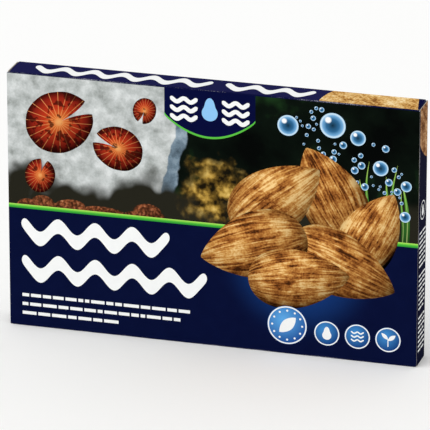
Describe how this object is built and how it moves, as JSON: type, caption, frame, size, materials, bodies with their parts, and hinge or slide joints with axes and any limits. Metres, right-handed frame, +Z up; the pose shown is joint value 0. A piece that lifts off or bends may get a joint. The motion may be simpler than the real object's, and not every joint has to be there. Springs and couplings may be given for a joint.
{
  "type": "tuck-end paperboard carton of dried indian almond leaves",
  "caption": "Flat printed board carton standing on its long edge, with a fold-out tuck closure at each end, holding a stack of large dried leaves.",
  "frame": {"origin": "middle of the carton's bottom face, on the surface that it stands on", "axes": "+X along the carton's length, to the right of its front face; -Y is the way that the front face looks; +Z up"},
  "size_m": [0.29, 0.023, 0.185],
  "materials": {
    "printed_board": "coated print with little gloss outside, bare grey-beige board inside",
    "dried_leaf": "matt to satin, leathery"
  },
  "bodies": {
    "carton": {"carton_body": "printed_board", "left_dust_flap_top": "printed_board", "left_dust_flap_bottom": "printed_board", "right_dust_flap_top": "printed_board", "right_dust_flap_bottom": "printed_board", "leaf_01": "dried_leaf", "leaf_02": "dried_leaf", "leaf_03": "dried_leaf", "leaf_04": "dried_leaf", "leaf_05": "dried_leaf", "leaf_06": "dried_leaf", "leaf_07": "dried_leaf", "leaf_08": "dried_leaf", "leaf_09": "dried_leaf", "leaf_10": "dried_leaf", "leaf_11": "dried_leaf", "leaf_12": "dried_leaf"},
    "left_end_panel": {"left_end_panel": "printed_board"},
    "left_tuck_tongue": {"left_tuck_tongue": "printed_board"},
    "right_end_panel": {"right_end_panel": "printed_board"},
    "right_tuck_tongue": {"right_tuck_tongue": "printed_board"}
  },
  "joints": [
    {"name": "left_end_fold", "type": "hinge", "parent": "carton", "child": "left_end_panel", "pos_m": [-0.14475, 0.01125, 0.0925], "axis": [0, 0, -1], "range_deg": [0, 110]},
    {"name": "left_tongue_fold", "type": "hinge", "parent": "left_end_panel", "child": "left_tuck_tongue", "pos_m": [-0.14475, -0.00975, 0.0925], "axis": [0, 0, -1], "range_deg": [-55, 0]},
    {"name": "right_end_fold", "type": "hinge", "parent": "carton", "child": "right_end_panel", "pos_m": [0.14475, 0.01125, 0.0925], "axis": [0, 0, 1], "range_deg": [0, 110]},
    {"name": "right_tongue_fold", "type": "hinge", "parent": "right_end_panel", "child": "right_tuck_tongue", "pos_m": [0.14475, -0.00975, 0.0925], "axis": [0, 0, 1], "range_deg": [-55, 0]}
  ],
  "couplings": [
    {"joint": "left_tongue_fold", "follows": "left_end_fold", "ratio": -0.5},
    {"joint": "right_tongue_fold", "follows": "right_end_fold", "ratio": -0.5}
  ]
}
